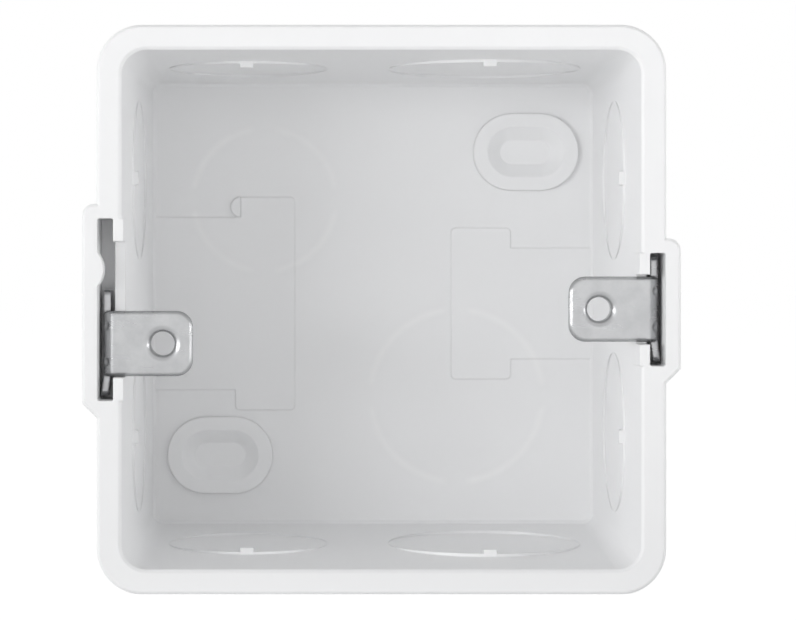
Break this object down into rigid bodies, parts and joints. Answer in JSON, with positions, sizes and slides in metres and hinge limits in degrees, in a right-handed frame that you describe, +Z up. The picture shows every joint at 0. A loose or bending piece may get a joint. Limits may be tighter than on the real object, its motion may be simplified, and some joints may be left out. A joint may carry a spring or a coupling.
{
  "type": "flush mounting box",
  "caption": "Square white plastic flush mounting box for a wall accessory, with round wall knockouts and folded steel screw lugs, one fixed and one sliding for levelling.",
  "frame": {"origin": "middle of the opening, in the plane of the rim's front face", "axes": "+X to the right seen from the front, +Y into the wall, +Z up as installed"},
  "size_m": [0.082, 0.05, 0.078],
  "materials": {
    "white_pvc": "satin, smooth moulded",
    "zinc_plated_steel": "bright zinc plating"
  },
  "bodies": {
    "box": {"box_body": "white_pvc", "fixed_lug": "zinc_plated_steel"},
    "sliding_lug": {"adjustable_lug": "zinc_plated_steel"}
  },
  "joints": [
    {"name": "lug_slide", "type": "slide", "parent": "box", "child": "sliding_lug", "axis": [0, 0, 1], "range_m": [0, 0.0095]}
  ]
}
